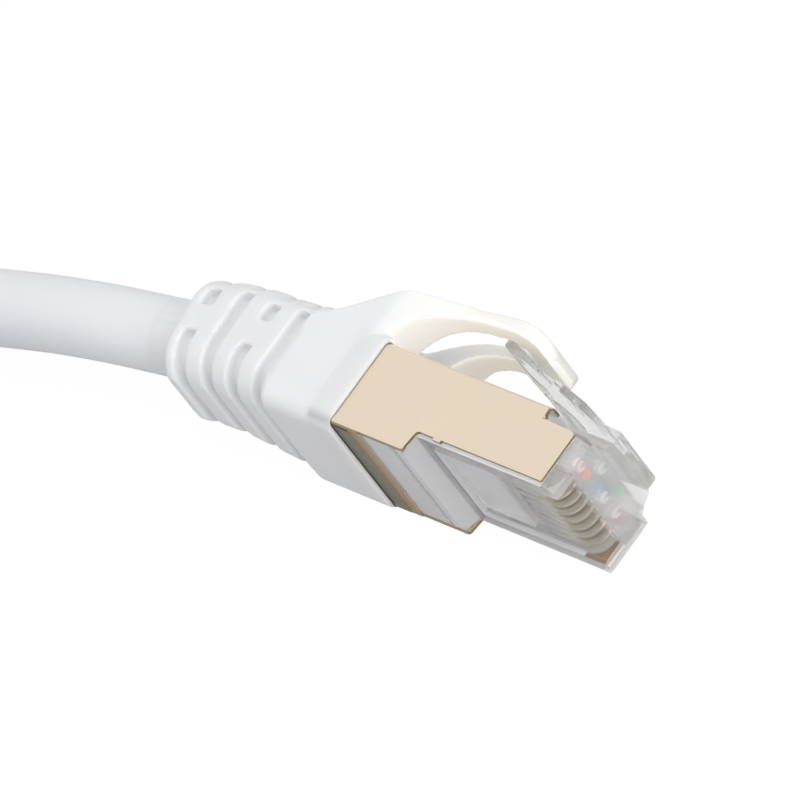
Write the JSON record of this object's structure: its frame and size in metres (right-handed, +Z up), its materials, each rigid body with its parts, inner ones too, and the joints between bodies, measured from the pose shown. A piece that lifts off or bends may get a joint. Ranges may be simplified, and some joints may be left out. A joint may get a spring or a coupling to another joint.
{
  "type": "ethernet patch cable",
  "caption": "Shielded network patch cable with a clear latching modular plug in a gold shield, slotted strain relief boot and arched latch guard at each end, tied in a coil",
  "frame": {"origin": "bottom centre of the first plug with its boot, on the floor", "axes": "X along the first plug with the nose at +X and the cable leaving at -X, Y towards the side with the latch, Z up from the floor the plug lies on"},
  "size_m": [0.1296, 0.1011, 0.0142],
  "materials": {
    "clear_plastic": "clear moulded polycarbonate, glossy",
    "milky_clear_plastic": "clear plastic, slightly milky",
    "gold_shield": "pale gold plated sheet, smooth satin",
    "gold_contacts": "gold plated contact blades",
    "cable_jacket": "white PVC jacket, smooth and matte",
    "tinned_braid": "tinned wire braid",
    "boot_plastic": "white flexible moulding, satin",
    "tie_plastic": "white plastic ribbon tie",
    "white_orange_insulation": "white with an orange stripe",
    "orange_insulation": "orange",
    "white_green_insulation": "white with a green stripe",
    "blue_insulation": "blue",
    "white_blue_insulation": "white with a blue stripe",
    "green_insulation": "green",
    "white_brown_insulation": "white with a brown stripe",
    "brown_insulation": "brown"
  },
  "bodies": {
    "cable": {"housing_a": "clear_plastic", "shield_a": "gold_shield", "load_bar_a": "milky_clear_plastic", "contacts_a": "gold_contacts", "wire_1_white_orange_a": "white_orange_insulation", "wire_2_orange_a": "orange_insulation", "wire_3_white_green_a": "white_green_insulation", "wire_4_blue_a": "blue_insulation", "wire_5_white_blue_a": "white_blue_insulation", "wire_6_green_a": "green_insulation", "wire_7_white_brown_a": "white_brown_insulation", "wire_8_brown_a": "brown_insulation", "jacket_end_a": "cable_jacket", "braid_cuff_a": "tinned_braid", "boot_a": "boot_plastic", "cable_lead": "cable_jacket", "cable_coil": "cable_jacket", "cable_tail": "cable_jacket", "coil_tie_left": "tie_plastic", "coil_tie_right": "tie_plastic", "housing_b": "clear_plastic", "shield_b": "gold_shield", "load_bar_b": "milky_clear_plastic", "contacts_b": "gold_contacts", "wire_1_white_orange_b": "white_orange_insulation", "wire_2_orange_b": "orange_insulation", "wire_3_white_green_b": "white_green_insulation", "wire_4_blue_b": "blue_insulation", "wire_5_white_blue_b": "white_blue_insulation", "wire_6_green_b": "green_insulation", "wire_7_white_brown_b": "white_brown_insulation", "wire_8_brown_b": "brown_insulation", "jacket_end_b": "cable_jacket", "braid_cuff_b": "tinned_braid", "boot_b": "boot_plastic"},
    "latch_a": {"latch_a": "clear_plastic"},
    "guard_a": {"guard_a": "boot_plastic"},
    "latch_b": {"latch_b": "clear_plastic"},
    "guard_b": {"guard_b": "boot_plastic"}
  },
  "joints": [
    {"name": "latch_a_press", "type": "hinge", "parent": "cable", "child": "latch_a", "pos_m": [0.02127, 0.00215, 0.00615], "axis": [0, 0, 1], "range_deg": [0, 10.5], "stiffness_Nm_per_rad": 0.3},
    {"name": "guard_a_press", "type": "hinge", "parent": "cable", "child": "guard_a", "pos_m": [0.00417, 0.00618, 0.00615], "axis": [0, 0, -1], "range_deg": [0, 13]},
    {"name": "latch_b_press", "type": "hinge", "parent": "cable", "child": "latch_b", "pos_m": [0.02127, -0.08463, 0.00615], "axis": [0, 0, 1], "range_deg": [0, 10.5], "stiffness_Nm_per_rad": 0.3},
    {"name": "guard_b_press", "type": "hinge", "parent": "cable", "child": "guard_b", "pos_m": [0.00417, -0.08059, 0.00615], "axis": [0, 0, -1], "range_deg": [0, 13]}
  ],
  "couplings": [
    {"joint": "guard_a_press", "follows": "latch_a_press", "ratio": 1.23},
    {"joint": "guard_b_press", "follows": "latch_b_press", "ratio": 1.23}
  ]
}
